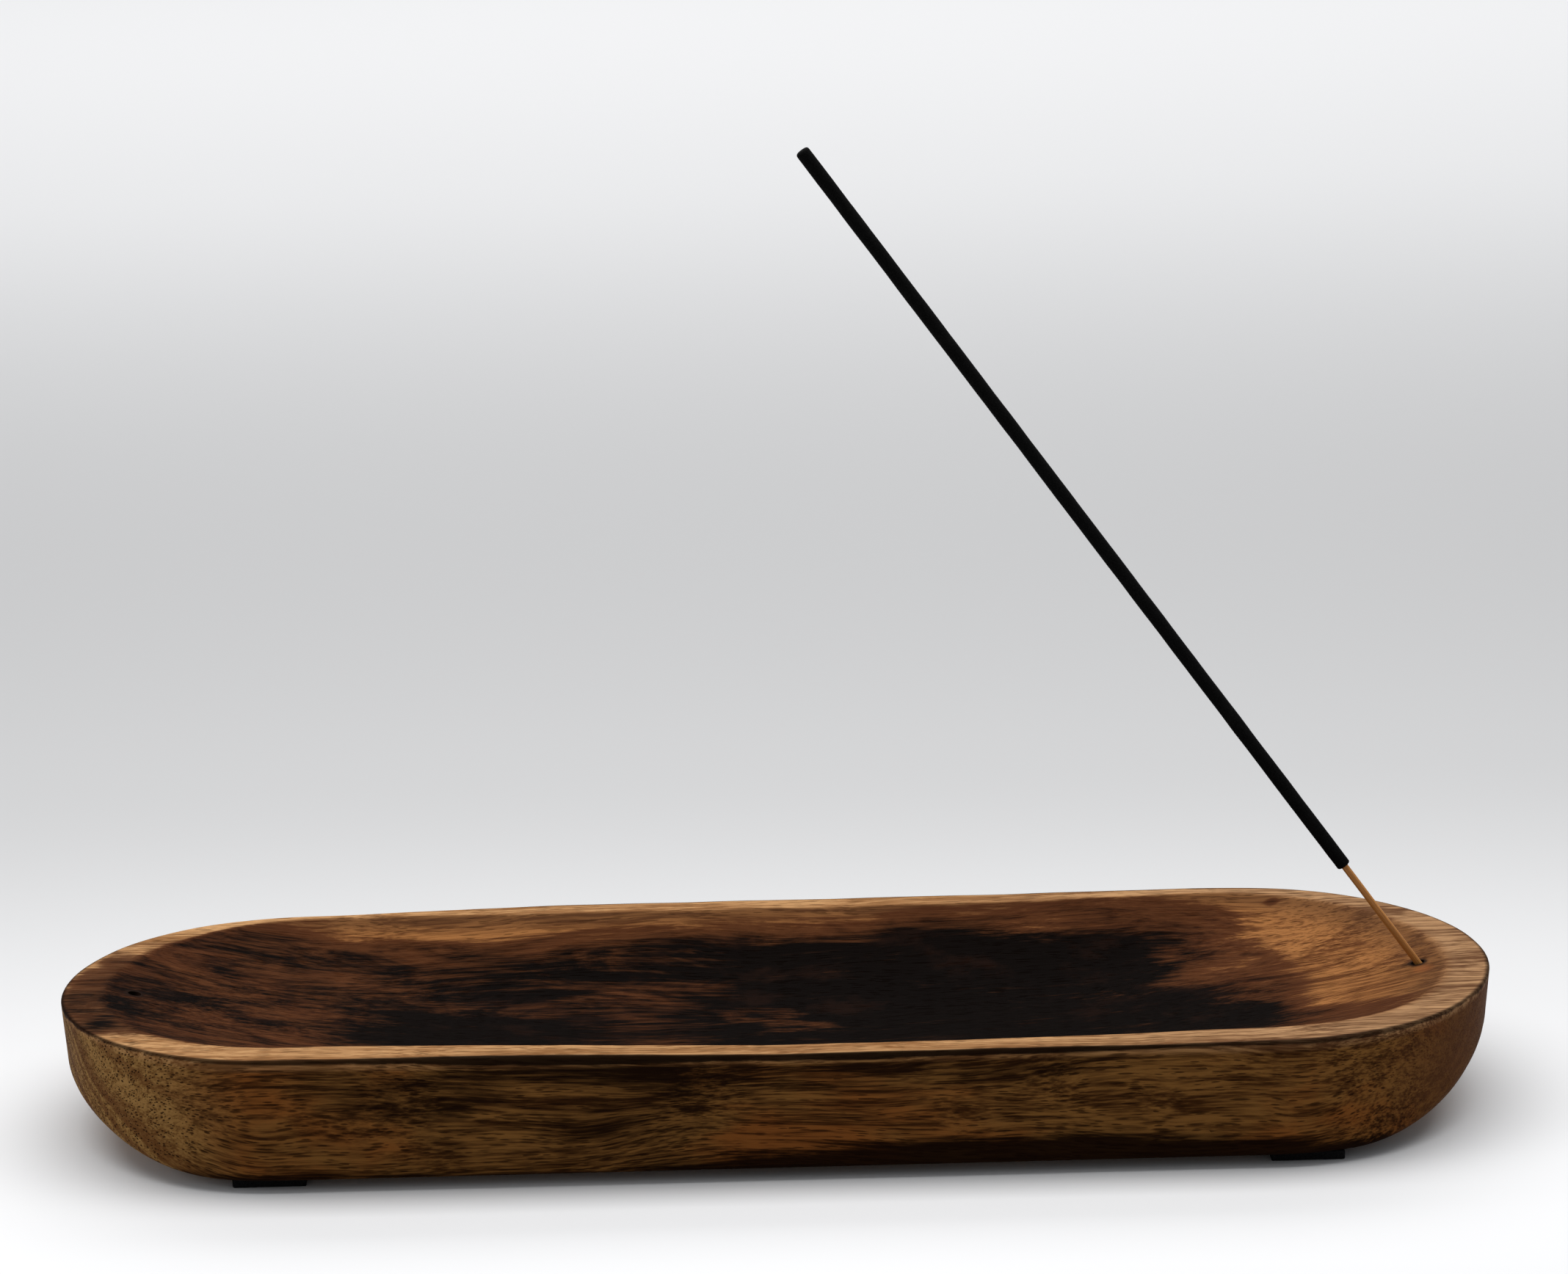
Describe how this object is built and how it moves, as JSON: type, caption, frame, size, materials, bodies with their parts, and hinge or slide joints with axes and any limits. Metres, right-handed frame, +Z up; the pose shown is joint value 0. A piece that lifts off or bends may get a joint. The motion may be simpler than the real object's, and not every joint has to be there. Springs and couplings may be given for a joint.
{
  "type": "incense burner",
  "caption": "Round-ended carved wooden tray with a shallow hollow, slanted stick holes near its ends and stick-on pads, holding an incense stick over the hollow to catch its ash.",
  "frame": {"origin": "on the table below the centre of the tray, at the underside of the pads", "axes": "+X along the tray towards the end that holds the stick, +Y across it to the back, +Z up"},
  "size_m": [0.3, 0.0974, 0.2025],
  "materials": {
    "wood": "oiled hardwood, hollow singed dark brown",
    "pad": "matte black foam rubber",
    "film": "adhesive film",
    "bamboo": "raw split bamboo",
    "charcoal": "matte charcoal paste"
  },
  "bodies": {
    "tray": {"tray": "wood", "pad_front_left": "pad", "pad_front_right": "pad", "pad_back_left": "pad", "pad_back_right": "pad", "film_front_left": "film", "film_front_right": "film", "film_back_left": "film", "film_back_right": "film"},
    "stick": {"bamboo_core": "bamboo", "incense_coating": "charcoal"}
  },
  "joints": [
    {"name": "stick_lift", "type": "slide", "parent": "tray", "child": "stick", "axis": [-0.5807, 0, 0.8141], "range_m": [0, 0.06]}
  ]
}
